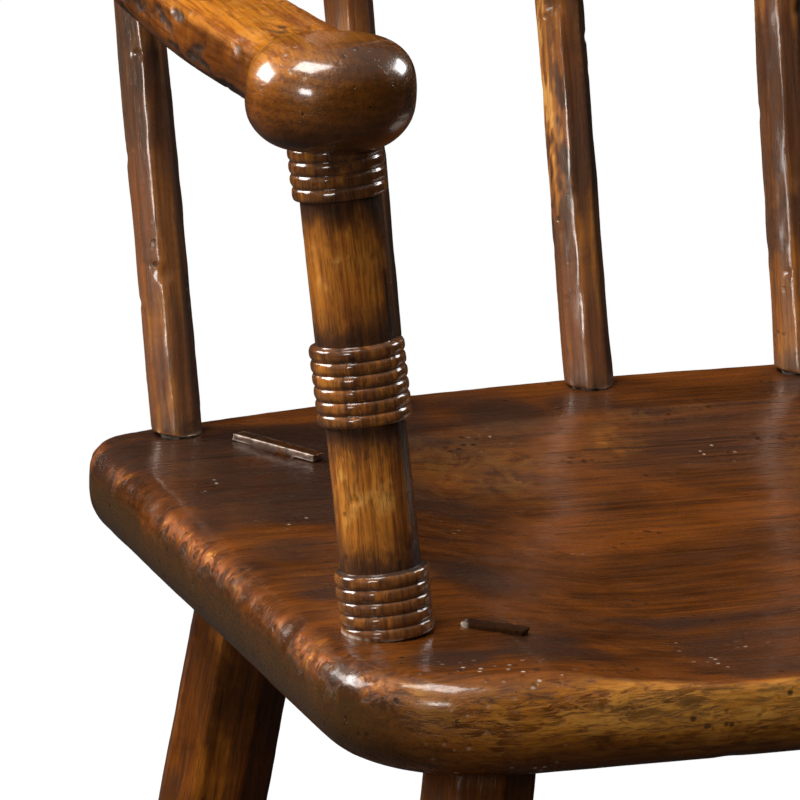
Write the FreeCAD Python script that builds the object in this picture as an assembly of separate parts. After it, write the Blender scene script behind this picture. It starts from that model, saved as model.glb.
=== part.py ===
# A country stick-back armchair. The plank seat is saddled, four hewn legs are wedged
# through it, two ring-turned posts carry carved arms that end in rounded hand knobs,
# and six shaved sticks run through a lapped back rail up to a curved comb.
# Lengths are millimetres. X runs across the chair, Y from front to back, Z up.
import FreeCAD, Part
import math
import os

Vec = FreeCAD.Vector

# Seat plank, its height measured to the flat rim
seat_height = 430.0
seat_width = 570.0
seat_front_width = 542.0
seat_depth = 438.5
seat_thickness = 43.0
seat_front_bow = 2.5
seat_back_bow = 40.5
seat_front_corner_radius = 68.0
seat_back_corner_radius = 28.0
seat_top_round = 12.0
seat_bottom_round = 22.5

# Saddle hollowed into the plank, with two thigh hollows and a ridge between them in front
saddle_depth = 12.0
saddle_side_rim = 52.0
saddle_side_slope_width = 120.0
saddle_back_rim = 30.0
saddle_back_slope_width = 130.0
saddle_front_share = 0.72
ridge_width = 110.0
ridge_share = 0.7
saddle_lift = 3.0
saddle_side_margin = 14.0
saddle_columns = 33
saddle_rows = 25

# Legs, placed by the centre of each tenon on the seat top
front_leg_setback = 70.0
front_leg_side_inset = 87.0
front_leg_splay_out_slope = 0.14
front_leg_splay_forward_slope = 0.10
rear_leg_back_inset = 92.0
rear_leg_side_inset = 75.5
rear_leg_splay_out_slope = 0.125
rear_leg_splay_back_slope = 0.21
front_leg_top_flats = 42.0
rear_leg_top_flats = 43.4
leg_belly_swell = 3.0
leg_foot_flats = 34.0
leg_belly_share = 0.35
leg_turn_degrees = 7.0
leg_tenon_diameter = 36.0

# Wedges driven into the leg tenons and the post tenons
wedge_depth = 24.0
wedge_top_thickness = 6.8
wedge_tip_thickness = 1.4
rear_wedge_proud = 3.2
front_wedge_proud = 1.4
rear_wedge_head_length = 50.0
front_wedge_head_length = 27.0
leg_wedge_blade_share = 0.72
rear_wedge_angle_degrees = 62.0
front_wedge_angle_degrees = 41.0
post_wedge_depth = 15.0
post_wedge_thickness = 3.6
post_wedge_blade_share = 0.7
post_wedge_angle_degrees = 90.0

# Arm posts, ring-turned, leaning out and back
post_setback = 80.0
post_side_inset = 47.0
post_lean_out_slope = 0.083
post_lean_back_slope = 0.098
post_shaft_diameter = 32.5
ring_diameter = 37.8
ring_groove_diameter = 36.4
ring_pitch = 5.15
bottom_ring_count = 5
middle_ring_count = 6
top_ring_count = 4
middle_collar_height = 97.0
post_lower_tenon_diameter = 23.0
post_upper_tenon_diameter = 19.0
post_upper_tenon_length = 25.0

# Arms and their hand knobs
arm_height = 213.0
arm_width = 46.0
arm_thickness = 30.0
arm_edge_round = 10.5
arm_bow = 12.0
knob_width = 67.0
knob_length = 62.0
knob_height = 43.0
knob_edge_round = 18.5
knob_drop = 2.5
knob_forward = 11.0
knob_outward = 2.0
arm_outer_corner_radius = 30.0
arm_inner_corner_radius = 12.0
lap_peg_diameter = 7.0
lap_peg_offset = 12.5

# Back sticks
stick_count = 6
stick_spacing = 97.3
stick_row_inset = 23.8
stick_recline_slope = 0.25
stick_fan_slope = 0.0245
stick_fan_share = 0.3
stick_flats = 21.2
stick_upper_flats = 16.0
stick_top_flats = 13.4
stick_turn_degrees = 8.0
stick_lower_tenon_diameter = 15.0
stick_lower_tenon_length = 27.0
stick_waist_diameter = 18.0
stick_upper_tenon_diameter = 10.5
stick_upper_tenon_length = 28.0

# Comb, set on the stick tops and tilted with them
comb_height_above_seat = 548.0
comb_middle_height = 68.0
comb_end_height = 50.0
comb_thickness = 25.0
comb_overhang = 34.0
comb_top_corner_radius = 22.0
comb_bottom_corner_radius = 9.0
comb_peg_diameter = 6.0
comb_peg_height = 15.0
comb_peg_length = 20.5

# Stretchers, joined as an H between the legs
stretcher_height = 152.0
stretcher_belly_flats = 28.0
stretcher_end_flats = 20.0
stretcher_tenon_diameter = 15.0
stretcher_tenon_depth = 13.0
cross_stretcher_tenon_depth = 10.0

# Fits: play round every tenon and relief past its end
fit_clearance = 0.15
socket_relief = 0.6
# Overrun of the cutting bodies past the wood that they cut
overrun = 60.0

seat_bottom = seat_height - seat_thickness
half_seat = seat_width / 2
arm_bottom = seat_height + arm_height - arm_thickness / 2
arm_top = arm_bottom + arm_thickness
arm_middle = seat_height + arm_height
UP = Vec(0, 0, 1)


def mirrored(shape):
    return shape.mirror(Vec(0, 0, 0), Vec(1, 0, 0))


def arc_edge(start, middle, end):
    return Part.Arc(start, middle, end).toShape()


def line_edge(start, end):
    return Part.LineSegment(start, end).toShape()


def slope_direction(out, back):
    # A direction that moves sideways and backwards by the given slopes for each unit up.
    return Vec(out, back, 1)


def unit(vector):
    result = Vec(vector)
    result.normalize()
    return result


def frame_round(direction):
    # Two directions square to the given one. The first is near X, or near Z for a bar along X.
    along = unit(direction)
    reference = UP if abs(along.x) > abs(along.z) else Vec(1, 0, 0)
    across = unit(reference - along * along.dot(reference))
    return across, along.cross(across)


def rod(start, end, radius):
    return Part.makeCylinder(radius, (end - start).Length, start, end - start)


def octagon(centre, direction, across_flats, turn_degrees):
    across, other = frame_round(direction)
    radius = across_flats / 2 / math.cos(math.pi / 8)
    points = []
    for corner in range(8):
        angle = math.pi / 4 * corner + math.radians(turn_degrees)
        points.append(centre + across * (radius * math.cos(angle)) + other * (radius * math.sin(angle)))
    return points


def flat_face(points):
    return Part.Face(Part.makePolygon(points + points[:1]))


def octagon_bar(start, end, start_flats, end_flats, turn_degrees):
    # A straight tapered bar with eight flat sides.
    low = octagon(start, end - start, start_flats, turn_degrees)
    high = octagon(end, end - start, end_flats, turn_degrees)
    faces = [flat_face(low), flat_face(high)]
    for corner in range(8):
        after = (corner + 1) % 8
        faces.append(flat_face([low[corner], low[after], high[after], high[corner]]))
    bar = Part.Solid(Part.Shell(faces))
    if bar.Volume < 0:
        bar.reverse()
    return bar


def slab(low_z, high_z):
    # A wide block between two heights, for trimming.
    reach = seat_width + seat_depth
    return Part.makeBox(2 * reach, 2 * reach, high_z - low_z, Vec(-reach, -reach, low_z))


def edges_where(shape, test):
    return [edge for edge in shape.Edges if test(edge)]


def is_upright(edge):
    box = edge.BoundBox
    return box.XLength + box.YLength < box.ZLength


def lies_at(height):
    def test(edge):
        box = edge.BoundBox
        return abs(box.ZMin - height) < fit_clearance and abs(box.ZMax - height) < fit_clearance
    return test


# Plan curves of the back: the back edge of the plank and the row of sticks

def back_radius():
    return (half_seat ** 2 + seat_back_bow ** 2) / (2 * seat_back_bow)


def back_edge_y(x):
    radius = back_radius()
    return seat_depth - radius + math.sqrt(radius ** 2 - x ** 2)


def stick_bases():
    first = -stick_spacing * (stick_count - 1) / 2
    bases = []
    for number in range(stick_count):
        x = first + stick_spacing * number
        bases.append(Vec(x, back_edge_y(x) - stick_row_inset, seat_height))
    return bases


def stick_direction(base):
    # Every stick leans out, the inner ones less, by a rising curve of their distance from the middle.
    outermost = stick_spacing * (stick_count - 1) / 2
    lean = stick_fan_slope * (abs(base.x) / outermost) ** stick_fan_share
    return slope_direction(math.copysign(lean, base.x), stick_recline_slope)


def stick_point(base, rise):
    return base + stick_direction(base) * rise


def arm_row_y(x):
    # The row of sticks where it passes the middle of the arm.
    return back_edge_y(x) - stick_row_inset + stick_recline_slope * arm_height


# Leg and post axes

def leg_top(front):
    if front:
        return Vec(-half_seat + front_leg_side_inset, front_leg_setback, seat_height)
    return Vec(-half_seat + rear_leg_side_inset, seat_depth - rear_leg_back_inset, seat_height)


def leg_axis(front):
    if front:
        return slope_direction(front_leg_splay_out_slope, front_leg_splay_forward_slope)
    return slope_direction(rear_leg_splay_out_slope, -rear_leg_splay_back_slope)


def leg_point(front, height):
    return leg_top(front) - leg_axis(front) * (seat_height - height)


post_foot = Vec(-half_seat + post_side_inset, post_setback, seat_height)
post_axis = slope_direction(-post_lean_out_slope, post_lean_back_slope)
knob_bottom = arm_middle - knob_drop - knob_height / 2


def post_point(height):
    return post_foot + post_axis * (height - seat_height)


# Seat plank

def saddle_fall(x, y):
    # How deep the saddle is at a place, from 0 on the rim to 1 in the hollow.
    side = (half_seat - saddle_side_rim - abs(x)) / saddle_side_slope_width
    back = (back_edge_y(x) - saddle_back_rim - y) / saddle_back_slope_width
    side = min(max(side, 0), 1)
    back = min(max(back, 0), 1)
    sideways = side * side * (3 - 2 * side)
    backwards = back * back * (3 - 2 * back)
    forward = min(max(1 - y / seat_depth * 2, 0), 1)
    ridge = ridge_share * forward * math.exp(-(2 * x / ridge_width) ** 2)
    lip = 1 - (1 - saddle_front_share) * forward ** 2
    return sideways * backwards * lip * (1 - ridge)


def saddle_cutter():
    # The space above the hollow: its floor is one smooth surface, clear of the rim.
    reach = half_seat - saddle_side_margin
    front = -overrun
    back = seat_depth
    grid = []
    for column in range(saddle_columns):
        x = -reach + 2 * reach * column / (saddle_columns - 1)
        line = []
        for row in range(saddle_rows):
            y = front + (back - front) * row / (saddle_rows - 1)
            fall = (saddle_lift + saddle_depth) * saddle_fall(x, y)
            line.append(Vec(x, y, seat_height + saddle_lift - fall))
        grid.append(line)
    surface = Part.BSplineSurface()
    surface.interpolate(grid)
    return surface.toShape().extrude(UP * overrun)


def seat_blank():
    front_left = Vec(-seat_front_width / 2, 0, seat_bottom)
    front_right = Vec(seat_front_width / 2, 0, seat_bottom)
    side_end = back_edge_y(half_seat)
    back_left = Vec(-half_seat, side_end, seat_bottom)
    back_right = Vec(half_seat, side_end, seat_bottom)
    outline = Part.Wire([
        arc_edge(front_left, Vec(0, -seat_front_bow, seat_bottom), front_right),
        line_edge(front_right, back_right),
        arc_edge(back_right, Vec(0, seat_depth, seat_bottom), back_left),
        line_edge(back_left, front_left),
    ])
    plank = Part.Face(outline).extrude(UP * seat_thickness)
    middle_y = seat_depth / 2
    front_corners = edges_where(plank, lambda e: is_upright(e) and e.BoundBox.YMin < middle_y)
    plank = plank.makeFillet(seat_front_corner_radius, front_corners)
    back_corners = edges_where(plank, lambda e: is_upright(e) and e.BoundBox.YMin > side_end - fit_clearance)
    plank = plank.makeFillet(seat_back_corner_radius, back_corners)
    plank = plank.makeFillet(seat_top_round, edges_where(plank, lies_at(seat_height)))
    return plank.makeFillet(seat_bottom_round, edges_where(plank, lies_at(seat_bottom)))


def leg_tenon(front, play):
    radius = leg_tenon_diameter / 2 + play
    start = leg_point(front, seat_bottom - seat_thickness)
    return rod(start, leg_point(front, seat_height + overrun), radius)


def post_lower_tenon(play):
    radius = post_lower_tenon_diameter / 2 + play
    return rod(post_point(seat_bottom - overrun), post_point(seat_height + ring_pitch), radius)


def stick_lower_tenon(base, play, relief):
    direction = unit(stick_direction(base))
    start = base - direction * (stick_lower_tenon_length + relief)
    return rod(start, base + direction * stick_flats, stick_lower_tenon_diameter / 2 + play)


def seat_plank(saddle):
    plank = seat_blank().cut(saddle)
    cutters = []
    for front in (True, False):
        socket = leg_tenon(front, fit_clearance)
        cutters += [socket, mirrored(socket)]
    socket = post_lower_tenon(fit_clearance)
    cutters += [socket, mirrored(socket)]
    for base in stick_bases():
        cutters.append(stick_lower_tenon(base, fit_clearance, socket_relief))
    return plank.cut(cutters)


# Wedges

def wedge_prism(point, axis, angle_degrees, length, depth, proud, thicknesses, play):
    # A wedge whose length lies level, driven down along the slanting axis of a tenon.
    angle = math.radians(angle_degrees)
    along = Vec(math.cos(angle), -math.sin(angle), 0)
    across = Vec(math.sin(angle), math.cos(angle), 0)
    top_thickness, tip_thickness = thicknesses
    start = point - along * (length / 2 + play)
    half_top = across * (top_thickness / 2 + play)
    half_tip = across * (tip_thickness / 2 + play)
    top = start + axis * proud
    tip = start - axis * (depth + play)
    return flat_face([tip - half_tip, top - half_top, top + half_top, tip + half_tip]).extrude(
        along * (length + 2 * play))


def leg_wedge_blade(front, play):
    angle = front_wedge_angle_degrees if front else rear_wedge_angle_degrees
    proud = front_wedge_proud if front else rear_wedge_proud
    length = leg_tenon_diameter * leg_wedge_blade_share
    thicknesses = (wedge_top_thickness, wedge_tip_thickness)
    return wedge_prism(leg_top(front), leg_axis(front), angle, length, wedge_depth,
                       proud, thicknesses, play)


def leg_wedge(front):
    # The blade sits in the tenon. The longer head stands proud and bears on the plank.
    angle = front_wedge_angle_degrees if front else rear_wedge_angle_degrees
    proud = front_wedge_proud if front else rear_wedge_proud
    length = front_wedge_head_length if front else rear_wedge_head_length
    thicknesses = (wedge_top_thickness, wedge_tip_thickness)
    head = wedge_prism(leg_top(front), leg_axis(front), angle, length, wedge_depth,
                       proud, thicknesses, 0)
    head = head.common(slab(seat_height, seat_height + overrun))
    return leg_wedge_blade(front, 0).fuse(head).removeSplitter()


def post_wedge_prism(play):
    length = post_lower_tenon_diameter * post_wedge_blade_share
    thicknesses = (post_wedge_thickness, wedge_tip_thickness)
    return wedge_prism(post_point(seat_bottom), post_axis * -1, post_wedge_angle_degrees, length,
                       post_wedge_depth, post_wedge_thickness, thicknesses, play)


def post_wedge():
    return post_wedge_prism(0).common(slab(seat_bottom, seat_height))


# Legs and stretchers

def leg_body(front):
    foot = leg_point(front, -overrun)
    belly = leg_point(front, seat_bottom * (1 - leg_belly_share))
    top = leg_point(front, seat_bottom + overrun)
    top_flats = front_leg_top_flats if front else rear_leg_top_flats
    belly_flats = top_flats + leg_belly_swell
    stem = octagon_bar(foot, belly, leg_foot_flats, belly_flats, leg_turn_degrees)
    neck = octagon_bar(belly, top, belly_flats, top_flats, leg_turn_degrees)
    return stem.fuse(neck).common(slab(0, seat_bottom)).removeSplitter()


def side_stretcher_ends():
    return leg_point(True, stretcher_height), leg_point(False, stretcher_height)


def stretcher(start, end, hosts, tenon_depth, host_flats):
    # An eight-sided bar between two axes, coped to what it meets, with a round tenon at each end.
    middle = (start + end) * 0.5
    along = unit(end - start)
    first = octagon_bar(start, middle, stretcher_end_flats, stretcher_belly_flats, 0)
    second = octagon_bar(middle, end, stretcher_belly_flats, stretcher_end_flats, 0)
    body = first.fuse(second).removeSplitter().cut(hosts)
    body = max(body.Solids, key=lambda solid: solid.Volume)
    for tip, inward in ((start, along), (end, along * -1)):
        shoulder = host_flats / 2
        inner = tip + inward * (shoulder - tenon_depth)
        body = body.fuse(rod(inner, tip + inward * (2 * shoulder), stretcher_tenon_diameter / 2))
    return body.removeSplitter()


def stretcher_sockets(start, end, tenon_depth, host_flats):
    along = unit(end - start)
    sockets = []
    for tip, inward in ((start, along), (end, along * -1)):
        shoulder = host_flats / 2
        inner = tip + inward * (shoulder - tenon_depth - socket_relief)
        radius = stretcher_tenon_diameter / 2 + fit_clearance
        sockets.append(rod(inner, tip + inward * (2 * shoulder), radius))
    return sockets


def leg(front, saddle):
    tenon = leg_tenon(front, 0).common(slab(seat_bottom - seat_thickness / 2, seat_height)).cut(saddle)
    body = leg_body(front).fuse(tenon)
    start, end = side_stretcher_ends()
    sockets = stretcher_sockets(start, end, stretcher_tenon_depth, leg_foot_flats)
    return body.cut([leg_wedge_blade(front, fit_clearance / 2)] + sockets).removeSplitter()


# Arm posts

def ring_profile(foot_height, count):
    # Beads side by side along the turning, as arcs that meet in sharp grooves.
    groove = ring_groove_diameter / 2
    crown = ring_diameter / 2
    edges = []
    for number in range(count):
        low = foot_height + ring_pitch * number
        edges.append(arc_edge(Vec(groove, 0, low), Vec(crown, 0, low + ring_pitch / 2),
                              Vec(groove, 0, low + ring_pitch)))
    return edges


def post_profile():
    # The turning in its own frame, its axis along Z and the plank's top at zero.
    axis_length = post_axis.Length
    top = (knob_bottom - seat_height) * axis_length
    middle = middle_collar_height * axis_length - ring_pitch * middle_ring_count / 2
    last = top - ring_pitch * top_ring_count
    shaft = post_shaft_diameter / 2
    groove = ring_groove_diameter / 2
    collars = [(-ring_pitch / 4, bottom_ring_count), (middle, middle_ring_count), (last, top_ring_count)]
    edges = []
    height = -ring_pitch
    radius = groove
    edges.append(line_edge(Vec(0, 0, height), Vec(radius, 0, height)))
    for foot_height, count in collars:
        if radius == shaft:
            edges.append(line_edge(Vec(shaft, 0, height), Vec(shaft, 0, foot_height)))
            edges.append(line_edge(Vec(shaft, 0, foot_height), Vec(groove, 0, foot_height)))
        else:
            edges.append(line_edge(Vec(groove, 0, height), Vec(groove, 0, foot_height)))
        edges += ring_profile(foot_height, count)
        height = foot_height + ring_pitch * count
        edges.append(line_edge(Vec(groove, 0, height), Vec(shaft, 0, height)))
        radius = shaft
    crest = height + ring_pitch
    edges.append(line_edge(Vec(shaft, 0, height), Vec(shaft, 0, crest)))
    edges.append(line_edge(Vec(shaft, 0, crest), Vec(0, 0, crest)))
    edges.append(line_edge(Vec(0, 0, crest), Vec(0, 0, -ring_pitch)))
    return Part.Wire(edges)


def post_upper_tenon(play, relief):
    start = post_point(knob_bottom - ring_pitch)
    end = post_point(knob_bottom) + unit(post_axis) * (post_upper_tenon_length + relief)
    return rod(start, end, post_upper_tenon_diameter / 2 + play)


def arm_post():
    turning = Part.Face(post_profile()).revolve(Vec(0, 0, 0), UP, 360)
    turning.Placement = FreeCAD.Placement(post_foot, FreeCAD.Rotation(UP, post_axis))
    turning = turning.common(slab(seat_height, knob_bottom))
    lower = post_lower_tenon(0).common(slab(seat_bottom, seat_height + ring_pitch))
    post = turning.fuse([lower, post_upper_tenon(0, 0)]).removeSplitter()
    return post.cut(post_wedge_prism(fit_clearance / 2))


# Arm bow: two arms and the back rail, laid out as one bow and parted at two half laps

def knob_centre():
    at_height = post_point(arm_middle - knob_drop)
    return Vec(at_height.x - knob_outward, at_height.y - knob_forward, at_height.z)


def knob():
    centre = knob_centre()
    foot = Vec(centre.x, centre.y, knob_bottom)
    ellipse = Part.Ellipse(foot, knob_width / 2, knob_length / 2)
    body = Part.Face(Part.Wire(ellipse.toShape())).extrude(UP * knob_height)
    rims = edges_where(body, lies_at(knob_bottom)) + edges_where(body, lies_at(knob_bottom + knob_height))
    return body.makeFillet(knob_edge_round, rims)


def corner_x():
    return -stick_point(stick_bases()[0], arm_height).x


def bow_side(offset):
    # Front, middle and back points of one edge of the left arm, off its centre line.
    front = knob_centre()
    back_x = corner_x() + offset
    back_y = arm_row_y(back_x) + offset
    middle_x = (-front.x + corner_x()) / 2 + offset + arm_bow
    middle_y = (front.y + back_y) / 2
    return (Vec(front.x - offset, front.y, arm_bottom), Vec(-middle_x, middle_y, arm_bottom),
            Vec(-back_x, back_y, arm_bottom))


def flipped(point):
    return Vec(-point.x, point.y, point.z)


def bow_blank():
    half = arm_width / 2
    outer = bow_side(half)
    inner = bow_side(-half)
    outer_back = Vec(0, arm_row_y(0) + half, arm_bottom)
    inner_back = Vec(0, arm_row_y(0) - half, arm_bottom)
    outline = Part.Wire([
        arc_edge(*outer),
        arc_edge(outer[2], outer_back, flipped(outer[2])),
        arc_edge(flipped(outer[2]), flipped(outer[1]), flipped(outer[0])),
        line_edge(flipped(outer[0]), flipped(inner[0])),
        arc_edge(flipped(inner[0]), flipped(inner[1]), flipped(inner[2])),
        arc_edge(flipped(inner[2]), inner_back, inner[2]),
        arc_edge(inner[2], inner[1], inner[0]),
        line_edge(inner[0], outer[0]),
    ])
    blank = Part.Face(outline).extrude(UP * arm_thickness)

    def corner_edges(shape, corner):
        def at_corner(edge):
            box = edge.BoundBox
            near = abs(abs(box.XMin) - abs(corner.x)) + abs(box.YMin - corner.y)
            return is_upright(edge) and near < fit_clearance
        return edges_where(shape, at_corner)

    blank = blank.makeFillet(arm_outer_corner_radius, corner_edges(blank, outer[2]))
    blank = blank.makeFillet(arm_inner_corner_radius, corner_edges(blank, inner[2]))
    long_edges = edges_where(blank, lies_at(arm_bottom)) + edges_where(blank, lies_at(arm_top))
    long_edges = [edge for edge in long_edges if edge.BoundBox.YLength > fit_clearance
                  or edge.BoundBox.YMin > arm_row_y(half_seat) / 2]
    return blank.makeFillet(arm_edge_round, long_edges)


def lap_shoulders():
    inner_corner = bow_side(-arm_width / 2)[2]
    return -inner_corner.x, inner_corner.y


def arm_zone():
    # The space of both arms: all that lies before the lap, and the lower half of each lap.
    shoulder_x, shoulder_y = lap_shoulders()
    before = Part.makeBox(2 * seat_width, shoulder_y + 2 * overrun, arm_height,
                          Vec(-seat_width, -2 * overrun, arm_middle - arm_height / 2))
    lower = Part.makeBox(seat_width, seat_depth, arm_height / 2,
                         Vec(shoulder_x, shoulder_y, arm_middle - arm_height / 2))
    return before.fuse([lower, mirrored(lower)])


def stick_waist(base, play):
    low = stick_point(base, arm_height - arm_thickness)
    high = stick_point(base, arm_height + arm_thickness)
    return rod(low, high, stick_waist_diameter / 2 + play)


def lap_peg(play):
    # One peg through each lap, before and inside the stick that also locks it.
    centre = stick_point(stick_bases()[0], arm_height)
    place = Vec(centre.x + lap_peg_offset, centre.y - lap_peg_offset, arm_bottom)
    return Part.makeCylinder(lap_peg_diameter / 2 + play, arm_thickness, place)


def arm(blank, zone):
    left_side = Part.makeBox(seat_width, seat_width + seat_depth, 2 * seat_height,
                             Vec(-seat_width, -seat_width / 2, 0))
    rail = blank.common(zone).common(left_side)
    body = rail.fuse(knob()).removeSplitter()
    return body.cut([post_upper_tenon(fit_clearance, socket_relief),
                     stick_waist(stick_bases()[0], fit_clearance), lap_peg(fit_clearance)])


def back_rail(blank, zone):
    rail = blank.cut(zone)
    cutters = [stick_waist(base, fit_clearance) for base in stick_bases()]
    peg = lap_peg(fit_clearance)
    return rail.cut(cutters + [peg, mirrored(peg)])


# Comb

comb_tilt_degrees = math.degrees(math.atan(stick_recline_slope))
comb_foot = Vec(0, back_edge_y(0) - stick_row_inset + stick_recline_slope * comb_height_above_seat,
                seat_height + comb_height_above_seat)


def in_comb_frame(shape):
    moved = shape.copy()
    moved.rotate(Vec(0, 0, 0), Vec(1, 0, 0), -comb_tilt_degrees)
    moved.translate(comb_foot)
    return moved


def comb_half_length():
    outermost = stick_point(stick_bases()[-1], comb_height_above_seat)
    return outermost.x + comb_overhang


def comb_row_y(x):
    # The row of sticks in the comb's own frame, zero at its middle.
    fall = back_edge_y(x) - back_edge_y(0)
    return fall * math.cos(math.radians(comb_tilt_degrees))


def comb_blank():
    # A curved band, longer than the comb, cut to the outline of the comb's face.
    half = comb_half_length()
    reach = half + comb_overhang
    side = comb_thickness / 2
    end = comb_row_y(reach)
    band = Part.Face(Part.Wire([
        arc_edge(Vec(-reach, end - side, 0), Vec(0, -side, 0), Vec(reach, end - side, 0)),
        line_edge(Vec(reach, end - side, 0), Vec(reach, end + side, 0)),
        arc_edge(Vec(reach, end + side, 0), Vec(0, side, 0), Vec(-reach, end + side, 0)),
        line_edge(Vec(-reach, end + side, 0), Vec(-reach, end - side, 0)),
    ])).extrude(UP * (comb_middle_height + 2 * overrun))
    band.translate(UP * -overrun)
    near = Vec(0, end - comb_thickness - overrun, 0)
    face = Part.Face(Part.Wire([
        line_edge(near + Vec(-half, 0, 0), near + Vec(half, 0, 0)),
        line_edge(near + Vec(half, 0, 0), near + Vec(half, 0, comb_end_height)),
        arc_edge(near + Vec(half, 0, comb_end_height), near + Vec(0, 0, comb_middle_height),
                 near + Vec(-half, 0, comb_end_height)),
        line_edge(near + Vec(-half, 0, comb_end_height), near + Vec(-half, 0, 0)),
    ])).extrude(Vec(0, 2 * (comb_thickness + overrun) - end, 0))
    runs_through = [edge for edge in face.Edges if edge.BoundBox.YLength > comb_thickness]
    upper = [edge for edge in runs_through if edge.BoundBox.ZMin > comb_end_height / 2]
    face = face.makeFillet(comb_top_corner_radius, upper)
    runs_through = [edge for edge in face.Edges if edge.BoundBox.YLength > comb_thickness]
    lower = [edge for edge in runs_through if edge.BoundBox.ZMax < fit_clearance]
    face = face.makeFillet(comb_bottom_corner_radius, lower)
    return band.common(face)


def stick_upper_tenon(base, play, relief):
    direction = unit(stick_direction(base))
    start = stick_point(base, comb_height_above_seat)
    end = start + direction * (stick_upper_tenon_length + relief)
    return rod(start - direction * stick_flats, end, stick_upper_tenon_diameter / 2 + play)


def comb_peg(play):
    # A peg from the comb's front face through the tenon of the outermost stick.
    outermost = stick_bases()[0]
    foot = stick_point(outermost, comb_height_above_seat)
    axis_point = foot + unit(stick_direction(outermost)) * comb_peg_height
    forward = FreeCAD.Rotation(Vec(1, 0, 0), -comb_tilt_degrees).multVec(Vec(0, -1, 0))
    start = axis_point + forward * (comb_thickness / 2 - fit_clearance)
    return rod(start, start - forward * (comb_peg_length + play), comb_peg_diameter / 2 + play)


def comb():
    board = in_comb_frame(comb_blank())
    cutters = [stick_upper_tenon(base, fit_clearance, socket_relief) for base in stick_bases()]
    peg = comb_peg(fit_clearance)
    return board.cut(cutters + [peg, mirrored(peg)])


# Sticks

def stick(base):
    direction = unit(stick_direction(base))
    low = octagon_bar(base - direction * overrun, stick_point(base, arm_height + overrun),
                      stick_flats, stick_flats, stick_turn_degrees)
    low = low.common(slab(seat_height, arm_bottom))
    waist_end = stick_point(base, arm_height)
    comb_end = stick_point(base, comb_height_above_seat + overrun)
    high = octagon_bar(waist_end, comb_end, stick_upper_flats, stick_top_flats, stick_turn_degrees)
    comb_space = in_comb_frame(Part.makeBox(4 * half_seat, seat_depth, 2 * overrun + seat_thickness,
                                            Vec(-2 * half_seat, -seat_depth / 2, 0)))
    high = high.common(slab(arm_top, seat_height * 4)).cut(comb_space)
    waist = stick_waist(base, 0).common(slab(arm_bottom - ring_pitch, arm_top + ring_pitch / 2))
    tenons = [stick_lower_tenon(base, 0, 0), stick_upper_tenon(base, 0, 0)]
    body = low.fuse([high, waist] + tenons).removeSplitter()
    if base.x == stick_bases()[0].x:
        return body.cut(comb_peg(fit_clearance))
    if base.x == stick_bases()[-1].x:
        return body.cut(mirrored(comb_peg(fit_clearance)))
    return body


# Assembly of the named pieces

def build():
    saddle = saddle_cutter()
    pieces = {"seat_plank": seat_plank(saddle)}
    legs = {True: leg(True, saddle), False: leg(False, saddle)}
    for front, row in ((True, "front"), (False, "rear")):
        wedge = leg_wedge(front)
        pieces[row + "_left_leg"] = legs[front]
        pieces[row + "_right_leg"] = mirrored(legs[front])
        pieces[row + "_left_wedge"] = wedge
        pieces[row + "_right_wedge"] = mirrored(wedge)
    start, end = side_stretcher_ends()
    side = stretcher(start, end, [leg_body(True), leg_body(False)], stretcher_tenon_depth, leg_foot_flats)
    middle = (start + end) * 0.5
    cross_ends = (middle, flipped(middle))
    cross = stretcher(cross_ends[0], cross_ends[1], [side, mirrored(side)],
                      cross_stretcher_tenon_depth, stretcher_belly_flats)
    side = side.cut(stretcher_sockets(cross_ends[0], cross_ends[1],
                                      cross_stretcher_tenon_depth, stretcher_belly_flats))
    pieces["left_side_stretcher"] = side
    pieces["right_side_stretcher"] = mirrored(side)
    pieces["cross_stretcher"] = cross
    post = arm_post()
    pieces["left_arm_post"] = post
    pieces["right_arm_post"] = mirrored(post)
    wedge = post_wedge()
    pieces["post_wedges"] = Part.makeCompound([wedge, mirrored(wedge)])
    blank = bow_blank()
    zone = arm_zone()
    left_arm = arm(blank, zone)
    pieces["left_arm"] = left_arm
    pieces["right_arm"] = mirrored(left_arm)
    pieces["back_rail"] = back_rail(blank, zone)
    peg = lap_peg(0)
    pieces["lap_pegs"] = Part.makeCompound([peg, mirrored(peg)])
    for number, base in enumerate(stick_bases()):
        pieces["back_stick_%d" % (number + 1)] = stick(base)
    pieces["comb"] = comb()
    peg = comb_peg(0)
    pieces["comb_pegs"] = Part.makeCompound([peg, mirrored(peg)])
    return pieces


def centre_on_floor(pieces):
    # The origin is on the floor, below the middle of the chair's overall width and depth.
    boxes = [shape.optimalBoundingBox(False, False) for shape in pieces.values()]
    front = min(box.YMin for box in boxes)
    back = max(box.YMax for box in boxes)
    for shape in pieces.values():
        shape.translate(Vec(0, -(front + back) / 2, 0))


chair = build()
centre_on_floor(chair)
os.makedirs("parts", exist_ok=True)
for name, shape in chair.items():
    shape.exportStep("parts/" + name + ".step")
    box = shape.BoundBox
    print(name, len(shape.Solids), shape.isValid(), round(shape.Volume / 1000, 2),
          [round(value, 1) for value in (box.XMin, box.YMin, box.ZMin, box.XMax, box.YMax, box.ZMax)])
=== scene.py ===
import math

import bpy
import numpy as np
from mathutils import Matrix, Vector, noise


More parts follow.
